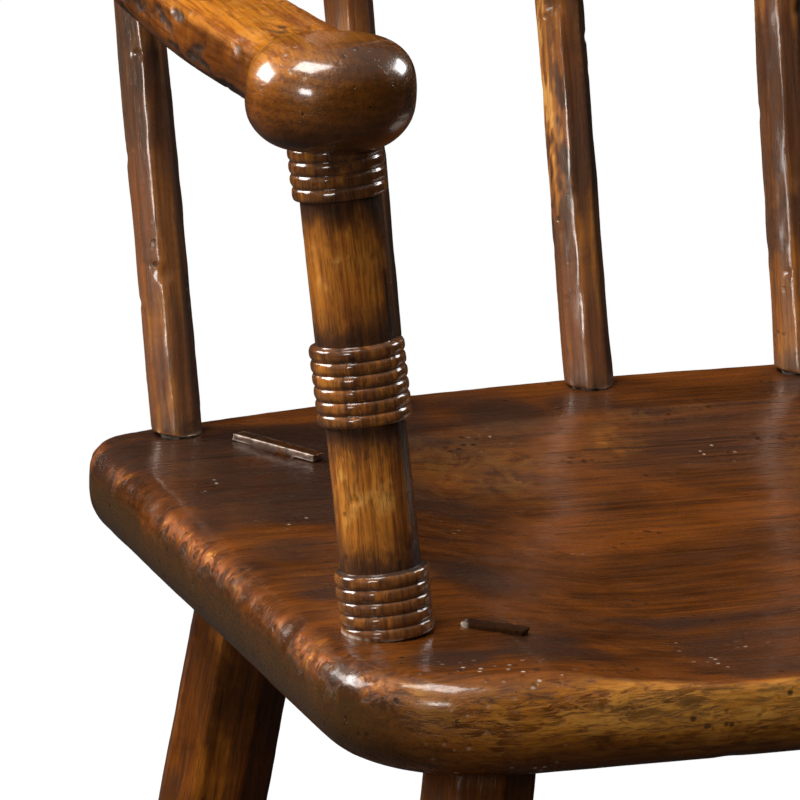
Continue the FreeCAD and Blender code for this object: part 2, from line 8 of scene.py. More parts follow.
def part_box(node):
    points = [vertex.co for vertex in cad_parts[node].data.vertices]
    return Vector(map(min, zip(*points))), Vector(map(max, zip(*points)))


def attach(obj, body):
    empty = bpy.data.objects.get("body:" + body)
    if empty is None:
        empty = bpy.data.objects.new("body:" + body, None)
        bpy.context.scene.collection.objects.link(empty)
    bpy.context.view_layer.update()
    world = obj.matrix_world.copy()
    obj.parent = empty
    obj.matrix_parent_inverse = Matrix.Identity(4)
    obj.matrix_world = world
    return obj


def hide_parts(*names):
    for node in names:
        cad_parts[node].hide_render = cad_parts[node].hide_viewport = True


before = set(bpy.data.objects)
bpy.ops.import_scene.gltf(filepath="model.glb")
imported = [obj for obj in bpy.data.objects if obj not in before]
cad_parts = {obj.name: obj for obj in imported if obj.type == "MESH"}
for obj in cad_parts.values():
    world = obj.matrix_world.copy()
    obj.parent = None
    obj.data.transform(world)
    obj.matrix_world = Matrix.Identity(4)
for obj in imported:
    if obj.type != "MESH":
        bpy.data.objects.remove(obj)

bl_info = {
    "name": "Stick-back armchair dressing",
    "version": (1, 0, 0),
    "blender": (4, 5, 0),
    "location": "3D View > Sidebar > Armchair",
    "description": "Dresses the packed armchair in worn, waxed wood",
    "category": "Object",
}

MERGE_DISTANCE = 0.00002
SIDES = ("left", "right")
ROWS = ("front", "rear")

# Where the pieces stand, in metres, from the plank's box and the sizes that the part was built to
SEAT_LOW, SEAT_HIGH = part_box("seat_plank")
FLAT_TOP = SEAT_HIGH.z
FRONT_BOW = 0.0025
PLANK_FRONT = SEAT_LOW.y + FRONT_BOW
LEG_TOPS = {"front": Vector((0.198, PLANK_FRONT + 0.070, FLAT_TOP)),
            "rear": Vector((0.2095, PLANK_FRONT + 0.3465, FLAT_TOP))}
LEG_AXES = {"front": Vector((-0.14, 0.10, 1.0)), "rear": Vector((-0.125, -0.21, 1.0))}
POST_FOOT = Vector((0.238, PLANK_FRONT + 0.080, FLAT_TOP))
POST_AXIS = Vector((0.083, 0.098, 1.0))
KNOB = Vector((0.2572, PLANK_FRONT + 0.0897, 0.6405))

# The back sticks: how many, how far apart, how they recline and how far their facets are turned. They
# also fan out by up to 1.4 degrees, which the turn leaves out, so it moves their tops up to 5 mm.
STICK_COUNT, STICK_PITCH = 6, 0.0973
STICK_AXIS = Vector((0.0, 0.25, 1.0))
STICK_TURN = 22.0

# How far behind the front of a stick's box its foot is taken, for the plank's marks and for its own
PLANK_FOOT_INSET, STICK_FOOT_INSET = 0.011, 0.013

# How far round a foot the plank stays smooth and is darker
FOOT_REACH = 0.030

# The slice of a stick, above the plank, through whose middle it is turned
SLICE_HEIGHT, SLICE_HALF = 0.06, 0.01

# The one stick whose facet towards the left is golden, from which height, and how soon
GOLDEN_STICK, GOLDEN_FROM, GOLDEN_FADE = "back_stick_3", 0.480, 0.05

# The leg tenons end a little below the plank's top. Pegs fill their sockets below it, and the upper part
# of each tenon goes into the plank's own mesh.
TENON_SUNK = 0.0012
FILLING_BOTTOM, FILLING_TOP, FILLING_RADIUS = 0.040, 0.003, 0.0187
TENON_KEPT = 0.030

# The least pale dry wax that lies over the sticks and the posts; on the sticks it also stands in for painted
# sheen
STICK_FILM, POST_FILM = 0.06, 0.03

# Dark and rubbed places on the seat: how far from the chair's middle, from its front, and their reach
SMOKY_SPOTS = ((0.200, 0.340, 0.050), (0.225, 0.250, 0.050), (0.245, 0.330, 0.040), (0.185, 0.055, 0.040),
               (0.225, 0.035, 0.025), (0.120, 0.310, 0.035), (0.150, 0.380, 0.040), (0.060, 0.385, 0.040),
               (0.175, 0.150, 0.035), (0.250, 0.205, 0.040), (0.256, 0.270, 0.030), (0.252, 0.140, 0.030),
               (0.265, 0.345, 0.030), (0.190, 0.300, 0.045), (0.100, 0.375, 0.050))
WARM_SPOTS = ((0.223, 0.339, 0.030), (0.060, 0.335, 0.045), (0.115, 0.230, 0.060), (0.262, 0.070, 0.022),
              (0.150, 0.052, 0.025), (0.020, 0.250, 0.060), (0.075, 0.120, 0.050))
GLOSSY_SPOTS = ((0.262, 0.012, 0.055),)

# Small gouges in the seat, given in the same way
GOUGES = ((0.168, 0.229, 0.010), (0.128, 0.201, 0.010), (0.022, 0.322, 0.012), (0.128, 0.056, 0.009),
          (0.122, 0.031, 0.011), (0.225, 0.017, 0.016), (0.200, 0.013, 0.016), (0.233, 0.240, 0.013),
          (0.100, 0.052, 0.007), (0.250, 0.300, 0.011), (0.118, 0.345, 0.010))

# Places where the plank's end arris has lost splinters, from the middle and from the front
CHIPPED_SPOTS = ((0.278, 0.285), (0.277, 0.168), (0.274, 0.100))
SPLINTER_REACH, SPLINTER_DROP = 0.009, 0.003

# Gouges on a knob, from its middle, and how far one reaches
KNOB_GOUGES = ((0.004, -0.022, 0.020), (-0.016, -0.014, 0.012))
KNOB_GOUGE_REACH = 0.011

# The pits in the wood: how many to a metre, and the way from a pit to the painted glint beside it
PITS_TO_A_METRE = 190.0
GLINT_OFFSET = (0.0010, 0.0006, 0.0012)

# The turning of the arm posts, measured along their axis from the plank's top
RING_PITCH = 0.00515
COLLARS = ((-0.00129, 5), (0.08235, 6), (0.16996, 4))
CROWN, GROOVE, SHAFT = 0.0186, 0.0176, 0.0158
LOWER_TENON, UPPER_TENON, TENON_SHOULDER = 0.0115, 0.0095, 0.0008
POST_RUN = (-0.0430, 0.2155)
POST_SIDES = 132

# Noise on the points: how it falls with each octave, its pace from one to the next, and from seed to seed
NOISE_FALL, NOISE_STEP, SEED_STEP = 0.8, 2.1, 7.31

# How far apart two seeds lie in the pattern of the grain
GRAIN_STEP = np.array((1.7, 0.31, 0.47))


def from_screen(red, green, blue):
    """A colour as shaders mix it, from the numbers that a screen shows."""
    def straight(value):
        part = value / 255
        if part <= 0.04045:
            return part / 12.92
        return ((part + 0.055) / 1.055) ** 2.4
    return (straight(red), straight(green), straight(blue))


def colour_choice(label, meaning, shade):
    return bpy.props.FloatVectorProperty(name=label, description=meaning, subtype="COLOR",
                                         size=3, min=0, max=1, default=shade)


def length_choice(label, meaning, size):
    return bpy.props.FloatProperty(name=label, description=meaning, default=size, min=0.0,
                                   precision=5, subtype="DISTANCE", unit="LENGTH")


class WaxedWoodColours(bpy.types.PropertyGroup):
    """Shades of the old wax finish, from the grime in corners to the rubbed edges"""
    # Grime also lays painted shade, amber and gold also lay painted light, and dust also lays painted
    # highlights, where the pieces store them
    grime_and_shade: colour_choice("Grime", "Black wax in corners, pores and cracks", from_screen(18, 9, 4))
    smoke: colour_choice("Smoke", "Hazy dark wax on flat places", from_screen(50, 33, 25))
    deep: colour_choice("Deep brown", "The darkest clean wood", from_screen(46, 21, 5))
    brown: colour_choice("Brown", "The commonest shade", from_screen(86, 44, 10))
    chestnut: colour_choice("Chestnut", "Red brown between the streaks", from_screen(119, 61, 14))
    amber: colour_choice("Amber", "Wood rubbed by hands and clothes", from_screen(176, 106, 26))
    wax: colour_choice("Wax", "The tint of what the wood mirrors", (1.0, 0.82, 0.66))
    rust: colour_choice("Rust", "Torn wood on the plank's ends", from_screen(134, 68, 20))
    gold: colour_choice("Gold", "Bare wood on the most worn edges", from_screen(206, 144, 64))
    olive: colour_choice("Olive", "End grain that has drunk wax", from_screen(60, 39, 15))
    dust_and_highlight: colour_choice("Dust", "Dry wax on edges and on the lips of gouges", from_screen(200, 182, 164))


class MeshCells(bpy.types.PropertyGroup):
    """How finely each kind of piece is meshed"""
    seat: length_choice("Seat", "Cell of the plank's mesh", 0.0025)
    leg: length_choice("Legs", "Cell of the legs' mesh", 0.0015)
    stretcher: length_choice("Stretchers", "Cell of the stretchers' mesh", 0.0017)
    post: length_choice("Posts", "Height of a row of faces on the arm posts", 0.00045)
    arm: length_choice("Arms", "Cell of the arms' mesh", 0.0012)
    stick: length_choice("Sticks", "Cell of the sticks' mesh", 0.0011)
    comb: length_choice("Comb and rail", "Cell of the comb's and the back rail's mesh", 0.0016)
    wedge: length_choice("Wedges", "Cell of the wedges' mesh", 0.0006)


class WearDepths(bpy.types.PropertyGroup):
    """How deep the marks of tools and of use go"""
    hewn: length_choice("Tool marks", "Waves left by the drawknife", 0.0006)
    dent: length_choice("Dents", "Depth of a knock", 0.0010)
    chip: length_choice("Chips", "Wood lost along the plank's arrises", 0.0012)


class StudioChoices(bpy.types.PropertyGroup):
    """Floor and lamps"""
    floor_size: length_choice("Floor", "Side of the square floor", 24.0)
    lamp_distance: length_choice("Lamp distance", "From the chair's corner to each lamp", 2.3)
    fill: bpy.props.FloatProperty(name="Fill", description="Light from all round", default=0.35, min=0)


# The settings, read once the classes are registered

def cells():
    return bpy.context.scene.chair_cells


def depths():
    return bpy.context.scene.chair_wear


# Places on the chair

def across_side(point, side):
    """The place on one side of the chair, given for the right side."""
    way = 1 if side == "right" else -1
    return Vector((point.x * way, point.y, point.z))


def stick_name(number):
    return "back_stick_%d" % (number + 1)


def stick_foot(number, inset):
    """Where a stick meets the plank, an inset behind the front of its box."""
    x = (number - (STICK_COUNT - 1) / 2) * STICK_PITCH
    return Vector((x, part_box(stick_name(number))[0].y + inset, FLAT_TOP))


# Values over a mesh's points

def share(values, most=1):
    """The values, kept from 0 to the most."""
    return np.clip(values, 0, most)


def ramp(values, start, length):
    """Rises from 0 at the start to 1 a length further on."""
    return share((values - start) / length)


def hump(values, middle, width):
    """One at the middle, falling to nothing on both sides."""
    return np.exp(-((values - middle) / width) ** 2)


def faded(away):
    """One at no distance, an eighth at a distance of one, and almost nothing beyond."""
    return np.exp(-away ** 2 * 2)


def near_points(points, places, reach):
    """One at the given places, fading round them within about the reach."""
    close = np.zeros(len(points))
    for place in places:
        close = np.maximum(close, faded(np.linalg.norm(points - np.array(place), axis=1) / reach))
    return close


def near_spots(points, spots):
    """The same for round spots on the seat and their mirror images, each given as x, y and reach."""
    close = np.zeros(len(points))
    for x, y, reach in spots:
        away = np.hypot(np.abs(points[:, 0]) - x, points[:, 1] - PLANK_FRONT - y)
        close = np.maximum(close, faded(away / reach))
    return close


# Meshes

def only(piece):
    bpy.ops.object.select_all(action="DESELECT")
    piece.select_set(True)
    bpy.context.view_layer.objects.active = piece


def merged_copy(node, name):
    """A new piece from a node of the frame, its loose triangles joined."""
    piece = bpy.data.objects.new(name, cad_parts[node].data.copy())
    bpy.context.scene.collection.objects.link(piece)
    piece.data.materials.clear()
    only(piece)
    bpy.ops.object.mode_set(mode="EDIT")
    bpy.ops.mesh.select_all(action="SELECT")
    bpy.ops.mesh.remove_doubles(threshold=MERGE_DISTANCE)
    bpy.ops.object.mode_set(mode="OBJECT")
    return piece


def worked(piece, kind, **settings):
    """Gives a piece a modifier and applies it."""
    modifier = piece.modifiers.new(kind.title(), kind)
    for setting, value in settings.items():
        setattr(modifier, setting, value)
    only(piece)
    bpy.ops.object.modifier_apply(modifier=modifier.name)


def evened(piece, cell, smooth_rounds):
    """Meshes a piece again in faces of one size, and softens its arrises."""
    worked(piece, "REMESH", mode="VOXEL", voxel_size=cell)
    worked(piece, "SMOOTH", factor=0.5, iterations=smooth_rounds)


def even_copy(node, cell, smooth_rounds):
    """A new piece from a node of the frame, meshed in this way."""
    piece = merged_copy(node, "worn_" + node)
    evened(piece, cell, smooth_rounds)
    return piece


def joined(piece, others):
    bpy.ops.object.select_all(action="DESELECT")
    for other in others:
        other.select_set(True)
    piece.select_set(True)
    bpy.context.view_layer.objects.active = piece
    bpy.ops.object.join()


def peg(start, end, radius, sides=48):
    """A round bar between two points."""
    length = (end - start).length
    bpy.ops.object.select_all(action="DESELECT")
    turn = (end - start).to_track_quat("Z", "Y").to_euler()
    bpy.ops.mesh.primitive_cylinder_add(vertices=sides, radius=radius, depth=length,
                                        location=(start + end) / 2, rotation=turn)
    bar = bpy.context.active_object
    bpy.ops.object.transform_apply(location=True, rotation=True, scale=True)
    return bar


def cut_below(piece, height):
    """Cuts away what lies below a height and closes the cut."""
    only(piece)
    bpy.ops.object.mode_set(mode="EDIT")
    bpy.ops.mesh.select_all(action="SELECT")
    bpy.ops.mesh.bisect(plane_co=(0, 0, height), plane_no=(0, 0, 1), use_fill=True, clear_inner=True)
    bpy.ops.object.mode_set(mode="OBJECT")


class Skin:
    """The points of a piece's mesh, and the moves that tools and wear make on them."""

    def __init__(self, piece):
        self.piece = piece
        mesh = piece.data
        self.count = len(mesh.vertices)
        self.points = self.read("co")
        links = np.zeros(len(mesh.edges) * 2, np.int32)
        mesh.edges.foreach_get("vertices", links)
        self.first, self.second = links[0::2], links[1::2]
        self.degree = np.maximum(np.bincount(links, minlength=self.count), 1)
        self.normals = self.read("normal")

    def read(self, what):
        values = np.zeros(self.count * 3, np.float32)
        self.piece.data.vertices.foreach_get(what, values)
        return values.reshape(-1, 3).astype(float)

    def mean_of_neighbours(self, values):
        total = np.bincount(self.first, weights=values[self.second], minlength=self.count)
        total += np.bincount(self.second, weights=values[self.first], minlength=self.count)
        return total / self.degree

    def middles(self):
        """For each point, the middle of its neighbours."""
        return np.stack([self.mean_of_neighbours(self.points[:, axis]) for axis in range(3)], axis=1)

    def spread(self, values, rounds):
        for _ in range(rounds):
            values = (values + self.mean_of_neighbours(values)) / 2
        return values

    def curvature(self, cell, rounds):
        """Positive on arrises and negative in hollows, in 1/m."""
        bend = ((self.points - self.middles()) * self.normals).sum(axis=1) / cell ** 2 * 2
        return self.spread(bend, rounds)

    def arris(self, cell, rounds, full):
        """From -1 in hollows to 1 on arrises, where a full one has the given curvature."""
        return np.clip(self.curvature(cell, rounds) / full, -1, 1)

    def cloud(self, pace, seed, octaves=3):
        """Noise over the points. Pace is how many clouds there are to a metre along each axis."""
        places = self.points * np.array(pace) + seed * SEED_STEP
        return np.array([noise.fractal(place, NOISE_FALL, NOISE_STEP, octaves) for place in places.tolist()])

    def turn(self, axis, degrees):
        """Turns a stick's points about an axis through the middle of its slice."""
        slice_of_it = np.abs(self.points[:, 2] - FLAT_TOP - SLICE_HEIGHT) < SLICE_HALF
        centre = self.points[slice_of_it].mean(axis=0)
        turned = np.array(Matrix.Rotation(math.radians(degrees), 3, axis)).T
        self.points = (self.points - centre) @ turned + centre
        self.normals = self.normals @ turned

    def soften(self, amount, rounds):
        """Rounds the shape off where the amount says so."""
        for _ in range(rounds):
            self.points += (self.middles() - self.points) * (amount / 2)[:, None]

    def press(self, depth):
        """Moves the surface inwards."""
        self.points -= self.normals * np.maximum(depth, 0)[:, None]

    def dent(self, centre, radius, depth):
        near = np.linalg.norm(self.points - np.array(centre), axis=1) / radius
        hollow = np.where(near < 1, (1 - near ** 2) ** 2, 0)
        self.press(hollow * depth)

    def scatter_dents(self, amount, radii, depth, seed):
        chance = np.random.default_rng(seed)
        for _ in range(amount):
            centre = self.points[chance.integers(self.count)]
            radius = chance.uniform(*radii)
            self.dent(centre, radius, depth * chance.uniform(0.3, 1.0))

    def settle(self, node):
        """Writes the points back, inside the box of the node that the piece stands for."""
        low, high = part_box(node)
        self.points = np.clip(self.points, np.array(low), np.array(high))
        mesh = self.piece.data
        mesh.vertices.foreach_set("co", self.points.astype(np.float32).ravel())
        mesh.update()

    def keep(self, name, values):
        """Stores a value for each point, which the materials read."""
        kind = "FLOAT" if values.ndim == 1 else "FLOAT_VECTOR"
        layer = self.piece.data.attributes.new(name, kind, "POINT")
        field = "value" if values.ndim == 1 else "vector"
        layer.data.foreach_set(field, values.astype(np.float32).ravel())

    def keep_grain(self, along, seed):
        """Coordinates that follow the wood's fibres: the first runs along them."""
        along = Vector(along).normalized()
        side = Vector((0, 1, 0)) if abs(along.y) < 0.7 else Vector((1, 0, 0))
        across = (side - along * side.dot(along)).normalized()
        third = along.cross(across)
        turned = self.points @ np.array([along, across, third]).T
        self.keep("grain", turned + seed * GRAIN_STEP)


def dressed(piece, node, material):
    """Finishes a piece: smooth, made of its wood, and standing for its node."""
    only(piece)
    bpy.ops.object.shade_smooth()
    piece.data.materials.clear()
    piece.data.materials.append(material)
    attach(piece, "root")
    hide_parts(node)


# Materials

class Wire:
    """A value on its way through a material's nodes, written as arithmetic."""

    def __init__(self, sheet, socket):
        self.sheet = sheet
        self.socket = socket

    def _with(self, operation, first, second):
        return self.sheet.add("ShaderNodeMath", {"operation": operation}, {0: first, 1: second})

    def __add__(self, other):
        return self._with("ADD", self, other)

    def __radd__(self, other):
        return self._with("ADD", other, self)

    def __sub__(self, other):
        return self._with("SUBTRACT", self, other)

    def __rsub__(self, other):
        return self._with("SUBTRACT", other, self)

    def __mul__(self, other):
        return self._with("MULTIPLY", self, other)

    def __rmul__(self, other):
        return self._with("MULTIPLY", other, self)


class Sheet:
    """The node tree of a material or of the world."""

    def __init__(self, owner):
        self.owner = owner
        owner.use_nodes = True
        self.tree = owner.node_tree
        self.tree.nodes.clear()

    def add(self, kind, settings=None, inputs=None, output=0):
        node = self.tree.nodes.new(kind)
        for setting, value in (settings or {}).items():
            setattr(node, setting, value)
        for socket, value in (inputs or {}).items():
            if isinstance(value, Wire):
                self.tree.links.new(value.socket, node.inputs[socket])
            else:
                node.inputs[socket].default_value = value
        return Wire(self, node.outputs[output]) if node.outputs else None

    def attribute(self, name, output="Fac"):
        return self.add("ShaderNodeAttribute", {"attribute_name": name}, output=output)

    def stretched(self, place, pace):
        return self.add("ShaderNodeVectorMath", {"operation": "MULTIPLY"}, {0: place, 1: pace})

    def cloud(self, place, pace, detail=4.0, rough=0.55, swirl=0.0):
        """Noise between 0 and 1, with its pace along each axis in clouds to a metre."""
        return self.add("ShaderNodeTexNoise", {"noise_dimensions": "3D"},
                        {"Vector": self.stretched(place, pace), "Scale": 1.0, "Detail": detail,
                         "Roughness": rough, "Distortion": swirl})

    def pits(self, place):
        """How far each place is from the middle of the nearest pit."""
        return self.add("ShaderNodeTexVoronoi", {"feature": "F1"},
                        {"Vector": place, "Scale": PITS_TO_A_METRE})

    def sine(self, value):
        return self.add("ShaderNodeMath", {"operation": "SINE"}, {0: value})

    def larger(self, first, second):
        return self.add("ShaderNodeMath", {"operation": "MAXIMUM"}, {0: first, 1: second})

    def step(self, value, low, high, start=0.0, end=1.0):
        """A soft step from start, where the value is low, to end, where it is high."""
        return self.add("ShaderNodeMapRange", {"interpolation_type": "SMOOTHSTEP"},
                        {"Value": value, "From Min": low, "From Max": high,
                         "To Min": start, "To Max": end})

    def blend(self, part, first, second):
        return self.add("ShaderNodeMix", {"data_type": "RGBA"}, {0: part, 6: first, 7: second}, output=2)


def solid(colour):
    return (*colour, 1.0)


class WaxedWood(Sheet):
    """A material of old waxed wood, whose methods lay one shade after another over its colour."""

    def __init__(self, name, dash_pace):
        super().__init__(bpy.data.materials.new(name))
        self.shades = bpy.context.scene.chair_colours
        self.place = self.add("ShaderNodeTexCoord", output="Object")
        self.grain = self.attribute("grain", "Vector")
        self.rub_and_light = self.attribute("rub_and_light")
        self.torn = self.attribute("torn")
        self.knocked = self.attribute("knocked")
        self.streaks = self.cloud(self.grain, (5.0, 170.0, 170.0), detail=7.0, rough=0.66, swirl=0.15)
        self.lines = self.cloud(self.grain, (16.0, 520.0, 520.0), rough=0.6)
        self.dashes = self.cloud(self.grain, dash_pace, detail=2.0, rough=0.5)
        self.patches = self.cloud(self.place, (6.5, 12.0, 12.0), detail=5.0, rough=0.58, swirl=0.5)
        self.blotches = self.cloud(self.place, (34.0, 50.0, 50.0), detail=5.0, rough=0.65, swirl=0.7)
        self.colour = None

    def lay(self, part, shade):
        """Lays one of the shades over the colour, as far as the part says."""
        self.colour = self.blend(part, self.colour, solid(shade))

    def figure(self, rings):
        """Light and dark along the fibres: streaks, year rings and fine lines."""
        sway = self.cloud(self.grain, (4.0, 11.0, 11.0), detail=3.0)
        across = self.add("ShaderNodeSeparateXYZ", inputs={0: self.grain}, output=2)
        year = self.sine(across * 1500.0 + sway * 40.0 + self.streaks * 3.0) * 0.5 + 0.5
        fine = self.cloud(self.grain, (45.0, 1300.0, 1300.0), detail=3.0, rough=0.6)
        return (self.streaks * (1.0 - rings * 0.6) + year * rings * 0.6
                + (self.lines - 0.5) * 0.70 + (fine - 0.5) * 0.70)

    def lay_clean_wood(self, warmth, rings, patchy):
        """Dark and red wood in patches, and amber where it is warm, where it is rubbed and where it has
        painted light.
        """
        tone = self.figure(rings)
        shades = self.shades
        dark = self.blend(self.step(tone, 0.22, 0.78), solid(shades.deep), solid(shades.brown))
        red = self.blend(self.step(tone, 0.25, 0.75), solid(shades.brown), solid(shades.chestnut))
        amber = self.blend(self.step(tone, 0.25, 0.70), solid(shades.chestnut), solid(shades.amber))
        reddish = self.step(self.patches * patchy + self.blotches * 0.25 + warmth * 0.3, 0.52, 0.84)
        warm = self.patches * 0.55 * patchy + self.blotches * 0.35 + self.rub_and_light * 0.75 + warmth * 0.5
        self.colour = self.blend(self.step(warm, 0.72, 1.12), self.blend(reddish, dark, red), amber)

    def lay_smoke(self, smoke):
        """Hazy dark wax, thinner where the wood is rubbed and where it has painted light."""
        haze = self.cloud(self.place, (9.0, 15.0, 15.0), detail=3.0, swirl=0.4)
        smoky = self.step(haze + self.attribute("smoke") * 0.30 - self.rub_and_light * 0.4, 0.50, 0.72) * smoke
        self.lay(smoky, self.shades.smoke)

    def lay_bare_wood(self):
        """Gold where the finish is worn away, and where painted light is strong. Returns how bare the wood
        is.
        """
        bare = self.step(self.rub_and_light + self.blotches * 0.8 + self.streaks * 0.3, 1.22, 1.62)
        self.lay(bare * 0.9, self.shades.gold)
        return bare

    def lay_torn_wood(self):
        """Bright fibres on the plank's torn edges, with grime between. Returns how proud they stand."""
        shades = self.shades
        fronts = self.cloud(self.place, (95.0, 60.0, 420.0), detail=7.0, rough=0.72, swirl=0.6)
        ends = self.cloud(self.place, (60.0, 95.0, 95.0), detail=8.0, rough=0.75, swirl=1.2)
        fronts = (fronts - 0.5) * 1.5 + 0.5
        ends = (ends - 0.5) * 2.0 + 0.46
        at_end = self.attribute("end_face")
        fibres = fronts + at_end * (ends - fronts)
        proud = self.step(fibres + (self.blotches - 0.5) * 0.70, 0.30, 0.52)
        worn = self.blend(at_end, solid(shades.amber), solid(shades.rust))
        bright = self.blend(self.step(fibres - at_end * 0.12, 0.46, 0.68), worn, solid(shades.gold))
        self.colour = self.blend(self.torn * proud * 0.95, self.colour, bright)
        self.lay(self.torn * (1.0 - proud) * 0.65, shades.grime_and_shade)
        return proud

    def lay_grime_and_shade(self):
        """Grime in corners, and painted shade where the pieces store it. Returns how much grime and painted
        shade there is.
        """
        dirt_and_shade = self.attribute("grime_and_shade") + (self.patches - 0.5) * 0.4 + (self.blotches - 0.5) * 0.5
        dirt_and_shade = self.step(dirt_and_shade, 0.30, 1.0)
        self.lay(dirt_and_shade * 0.88, self.shades.grime_and_shade)
        return dirt_and_shade

    def lay_pits(self):
        """Dark pits in clusters and where the wood is knocked, there with a painted glint beside each.
        Returns the pits.
        """
        clusters = self.step(self.cloud(self.place, (22.0, 30.0, 30.0), detail=3.0), 0.56, 0.68)
        clusters = self.larger(clusters, self.knocked)
        holes = (1.0 - self.step(self.pits(self.place), 0.12, 0.34)) * clusters
        self.lay(holes * 0.8, self.shades.grime_and_shade)
        # Painted glints: small pale marks beside the knocked pits, in the dust shade
        beside = self.add("ShaderNodeVectorMath", {"operation": "ADD"}, {0: self.place, 1: GLINT_OFFSET})
        painted_glints = (1.0 - self.step(self.pits(beside), 0.12, 0.20)) * self.knocked
        self.lay(painted_glints * 0.85, self.shades.dust_and_highlight)
        return holes

    def lay_pores(self, pores):
        """Dark pores along the fibres, and a few cracks. Returns both."""
        pore = self.step(self.dashes + (self.blotches - 0.5) * 0.40, 0.55, 0.66) * pores
        crack = self.step(self.cloud(self.grain, (7.0, 260.0, 260.0), detail=2.0), 0.70, 0.73)
        crack = crack * (pores * 0.5 + 0.4)
        self.lay(pore * 0.55, self.shades.grime_and_shade)
        self.lay(crack, self.shades.grime_and_shade)
        return pore, crack


def waxed_wood(name, warmth, rings=0.2, pores=0.6, patchy=1.0, smoke=0.5, gloss=0.30, coat=0.1,
               sheen=0.45, dash_pace=(75.0, 820.0, 820.0)):
    """Old waxed wood. Warmth is how far it is rubbed to amber, from 0 for dark wood to 1.

    Rings, pores, patchy and smoke are how much of each shows, gloss is the roughness of clean wood,
    coat and sheen are how strongly the wax and the wood mirror, and dash_pace is how many pores
    there are to a metre, along the grain and across it."""
    wood = WaxedWood(name, dash_pace)
    wood.lay_clean_wood(warmth, rings, patchy)
    wood.lay_smoke(smoke)
    wood.lay(wood.attribute("end_grain"), wood.shades.olive)
    bare = wood.lay_bare_wood()
    proud = wood.lay_torn_wood()
    dirt_and_shade = wood.lay_grime_and_shade()
    holes = wood.lay_pits()
    pore, crack = wood.lay_pores(pores)
    # Dry wax, and the painted highlights that the pieces store with it
    wood.lay(wood.attribute("dust_and_highlight") * wood.step(wood.streaks, 0.3, 0.6, 0.4), wood.shades.dust_and_highlight)

    height = (wood.lines * 0.00008 + wood.streaks * 0.00014 - pore * 0.00020 - holes * 0.00070
              - crack * 0.00050 + wood.blotches * 0.00038 + wood.torn * proud * 0.00080)
    bump = wood.add("ShaderNodeBump", inputs={"Strength": 0.6, "Distance": 1.0, "Height": height})
    rough = (gloss + wood.torn * 0.20 + pore * 0.25 + dirt_and_shade * 0.22 + bare * 0.08
             + (wood.blotches - 0.5) * 0.20 + (wood.patches - 0.5) * 0.12)
    shine = (coat + wood.attribute("polish") * 0.6) * (1.0 - dirt_and_shade * 0.35) * (1.0 - wood.torn * 0.6)
    surface = wood.add("ShaderNodeBsdfPrincipled",
                       inputs={"Base Color": wood.colour, "Roughness": rough, "Normal": bump, "IOR": 1.45,
                               "Specular IOR Level": sheen, "Specular Tint": solid(wood.shades.wax),
                               "Coat Weight": shine, "Coat Roughness": 0.13, "Coat IOR": 1.5})
    wood.add("ShaderNodeOutputMaterial", inputs={"Surface": surface})
    return wood.owner


# Pieces

def dry_wax_and_highlight(skin, seed):
    """A broken pale line where a piece stands on the plank: dry wax, and a painted highlight along the foot.
    """
    line = hump(skin.points[:, 2], FLAT_TOP, 0.0010)
    return line * share(0.6 + skin.cloud((260, 260, 60), seed + 90, octaves=2) * 2)


def golden_facet(skin, ripple):
    """How golden the facet towards the left is, above the height where the gold starts."""
    facing = share(-skin.normals[:, 0] * 2.2 - 0.6)
    above = ramp(skin.points[:, 2], GOLDEN_FROM, GOLDEN_FADE)
    return facing * above * share(0.8 + ripple * 2)


def shaved_bar(node, cell, along, seed, smooth_rounds, dents, dirt_and_shade_places, dirt_and_shade_reach, turn=0.0):
    """A hewn or shaved piece: eight facets with soft arrises, waves and knocks."""
    piece = even_copy(node, cell, smooth_rounds)
    skin = Skin(piece)
    arris = skin.arris(cell, rounds=3, full=220)
    along = Vector(along).normalized()
    if turn:
        skin.turn(along, turn)
        skin.soften(share(skin.spread(share(arris), 3) * 3), 4)
    # Few waves to a metre along the bar, and many across it
    pace = np.array([60 - 48 * abs(part) for part in along])
    waves = skin.cloud(pace, seed)
    ripple = skin.cloud(pace * 3.1, seed + 5)
    skin.press((0.5 + waves) * depths().hewn + share(arris) * (0.4 + ripple) * depths().hewn * 0.5)
    skin.scatter_dents(dents, (0.002, 0.006), depths().dent, seed)
    rub_and_light = skin.spread(share(arris * 0.6 + waves * 0.5 + 0.1), 2)
    # Darker round the given places: on the legs this is painted shadow under the plank
    grime_and_shade = near_points(skin.points, dirt_and_shade_places, dirt_and_shade_reach)
    if node == GOLDEN_STICK:
        gold = golden_facet(skin, ripple)
        rub_and_light = np.maximum(rub_and_light, gold)
        grime_and_shade = grime_and_shade * (1 - gold)
    if turn:
        grime_and_shade = np.maximum(grime_and_shade, mark_stick(skin, seed))
    else:
        skin.points[:, 2] = np.minimum(skin.points[:, 2], FLAT_TOP - TENON_SUNK)
    skin.keep("rub_and_light", share(rub_and_light))
    skin.keep("grime_and_shade", share(grime_and_shade + share(-arris) * 0.6))
    skin.keep_grain(along, seed)
    skin.settle(node)
    return piece


def mark_stick(skin, seed):
    """Stores a stick's polish, knocks, and dry wax with a painted highlight at the foot. Returns painted
    shade on its right side.
    """
    skin.keep("polish", np.full(skin.count, 0.8))
    knocks = skin.points[np.random.default_rng(seed).integers(skin.count, size=24)]
    skin.keep("knocked", near_points(skin.points, knocks, 0.006))
    skin.keep("dust_and_highlight", np.maximum(dry_wax_and_highlight(skin, seed), STICK_FILM))
    # Painted shade on the facets that face to the right and to the front
    return share(skin.normals @ np.array((0.85, -0.50, 0.0))) * 0.75


